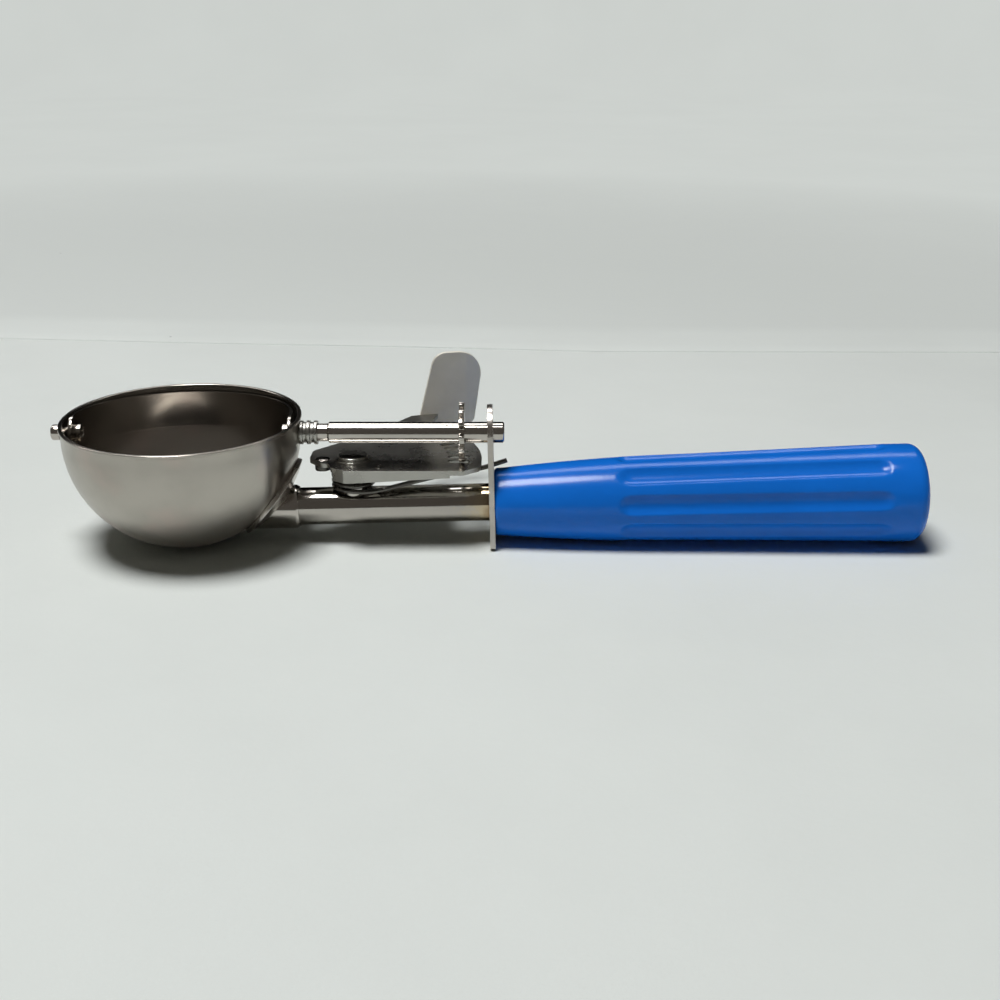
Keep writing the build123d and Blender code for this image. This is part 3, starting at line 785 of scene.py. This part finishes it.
def add_lamp(name, place, aim, size, power):
    """A soft lamp of this width and height, pointed at a place."""
    data = bpy.data.lights.new(name, "AREA")
    data.shape = "ELLIPSE"
    data.size, data.size_y = size
    data.energy = power
    lamp = bpy.data.objects.new(name, data)
    lamp.location = place
    lamp.rotation_euler = (Vector(aim) - Vector(place)).to_track_quat("-Z", "Y").to_euler()
    bpy.context.scene.collection.objects.link(lamp)
    return lamp


def light_room(scene):
    """A lamp overhead, a long strip behind for reflections, and a dim room that looks pale."""
    add_lamp("ceiling_lamp", *CEILING_LAMP)
    strip = add_lamp("rear_strip", *REAR_STRIP)
    strip.visible_diffuse = False
    world = bpy.data.worlds.new("pale_room")
    scene.world = world
    world.use_nodes = True
    tree = world.node_tree
    path = add(tree.nodes, "ShaderNodeLightPath")
    shade = blend_colours(tree, path.outputs["Is Glossy Ray"], ROOM_LIGHT, ROOM_REFLECTED)
    shade = blend_colours(tree, path.outputs["Is Camera Ray"], shade, ROOM_SEEN)
    tree.links.new(shade, tree.nodes["Background"].inputs["Color"])


def set_camera(scene):
    """Sets the camera a little above the scoop, in front of it."""
    data = bpy.data.cameras.new("camera")
    data.lens = CAMERA_LENS
    data.sensor_width = CAMERA_SENSOR
    data.shift_y = CAMERA_SHIFT
    data.clip_start = CAMERA_NEAR
    camera = bpy.data.objects.new("camera", data)
    turn = Matrix.Rotation(-CAMERA_YAW, 4, "Z") @ Matrix.Rotation(math.pi / 2 - CAMERA_PITCH, 4, "X")
    camera.matrix_world = Matrix.Translation(CAMERA_PLACE) @ turn @ Matrix.Rotation(CAMERA_ROLL, 4, "Z")
    scene.collection.objects.link(camera)
    scene.camera = camera


# ---------------------------------------------------------------- operators


class SCOOP_OT_finishes(bpy.types.Operator):
    """Makes the steel, plastic and cloth finishes"""

    bl_idname = "scoop.finishes"
    bl_label = "Finishes"

    def execute(self, context):
        colours = context.scene.scoop_colours
        make_scratches()
        make_heat_tint()
        # the bowl's inside is the same steel as its outside, painted a little darker: painted shade
        inside = shaded(colours.bowl_steel, INSIDE_SHADE_SHARE)
        make_spun_steel("spun_steel", colours.bowl_steel, rough=(0.28, 0.35), smear=0.8)
        make_spun_steel("buffed_steel", inside, rough=(0.19, 0.25), smear=0.0)
        for name, (colour, share, *settings) in STEELS.items():
            make_steel(name, shaded(getattr(colours, colour), share), *settings)
        make_welded_steel(colours.bright_steel)
        make_grip_plastic(colours.grip_blue)
        make_cloth(colours.cloth)
        return {"FINISHED"}


class SCOOP_OT_metal(bpy.types.Operator):
    """Builds the pressed and turned steel pieces with rounded edges"""

    bl_idname = "scoop.metal"
    bl_label = "Steel pieces"

    def execute(self, context):
        rounding = context.scene.scoop_sizes.edge_rounding
        slots = {row["node"]: row["material_slot"] for row in frame["record"]["subparts"]}
        bodies = frame["record"]["behaviour"]["bodies"]
        for body, nodes in bodies.items():
            for node in nodes:
                if node in OWN_FORMS:
                    continue
                slot = slots[node]
                finish = FINISHES.get(node, SLOT_FINISHES[slot])
                piece = link_piece(f"{node}_steel", soften(node, rounding), body, finish)
                keep_flats(piece)
                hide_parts(node)
        head = link_piece("nose_stud_head", make_stud_head(), "lever", "turned_steel")
        keep_flats(head)
        return {"FINISHED"}


class SCOOP_OT_bowl(bpy.types.Operator):
    """Builds the spun bowl with its lip and its two bearing holes"""

    bl_idname = "scoop.bowl"
    bl_label = "Bowl"

    def execute(self, context):
        piece = link_piece("spun_bowl", make_bowl(), "frame", "spun_steel")
        drill(piece, [bar_along_x(-2 * BOWL_R, 0, PIN_HOLE_R), bar_along_x(0, 2 * BOWL_R, BUSH_HOLE_R)])
        paint(piece, "buffed_steel")
        centre = Vector((0.0, 0.0, -RIM_RISE * MM))
        for face in piece.data.polygons:
            face.material_index = int((face.center - centre).dot(face.normal) < 0.0)
        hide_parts("bowl")
        return {"FINISHED"}


class SCOOP_OT_spring(bpy.types.Operator):
    """Builds the return spring's wire"""

    bl_idname = "scoop.spring"
    bl_label = "Return spring"

    def execute(self, context):
        piece = link_piece("coiled_spring", make_spring(), None, "wire_steel")
        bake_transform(piece)
        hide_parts("return_spring")
        return {"FINISHED"}


class SCOOP_OT_grip(bpy.types.Operator):
    """Builds the moulded grip with its soft-edged flutes"""

    bl_idname = "scoop.grip"
    bl_label = "Grip"

    def execute(self, context):
        mesh = make_grip(context.scene.scoop_sizes.flute_softness)
        piece = link_piece("fluted_grip", mesh, "frame", "grip_plastic")
        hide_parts("handle_grip")
        return {"FINISHED"}


class SCOOP_OT_stage(bpy.types.Operator):
    """Sets the cloth, the lights and the camera"""

    bl_idname = "scoop.stage"
    bl_label = "Stage"

    def execute(self, context):
        lay_cloth()
        light_room(context.scene)
        set_camera(context.scene)
        return {"FINISHED"}


class SCOOP_PT_panel(bpy.types.Panel):
    """Colours, sizes and operators of the scoop"""

    bl_idname = "SCOOP_PT_panel"
    bl_label = "Lever ice cream scoop"
    bl_space_type = "VIEW_3D"
    bl_region_type = "UI"
    bl_category = "Scoop"

    def draw(self, context):
        for group in (context.scene.scoop_colours, context.scene.scoop_sizes):
            for name in type(group).__annotations__:
                self.layout.prop(group, name)
        for operator in OPERATORS:
            self.layout.operator(operator.bl_idname)


OPERATORS = (
    SCOOP_OT_finishes,
    SCOOP_OT_metal,
    SCOOP_OT_bowl,
    SCOOP_OT_spring,
    SCOOP_OT_grip,
    SCOOP_OT_stage,
)
CLASSES = (ScoopColours, ScoopSizes, *OPERATORS, SCOOP_PT_panel)


def register():
    for item in CLASSES:
        bpy.utils.register_class(item)
    bpy.types.Scene.scoop_colours = PointerProperty(type=ScoopColours)
    bpy.types.Scene.scoop_sizes = PointerProperty(type=ScoopSizes)


def unregister():
    del bpy.types.Scene.scoop_sizes
    del bpy.types.Scene.scoop_colours
    for item in reversed(CLASSES):
        bpy.utils.unregister_class(item)


def main():
    register()
    bpy.context.scene.view_settings.view_transform = "Standard"
    bpy.ops.scoop.finishes()
    bpy.ops.scoop.metal()
    bpy.ops.scoop.bowl()
    bpy.ops.scoop.spring()
    bpy.ops.scoop.grip()
    bpy.ops.scoop.stage()


if __name__ == "__main__":
    main()
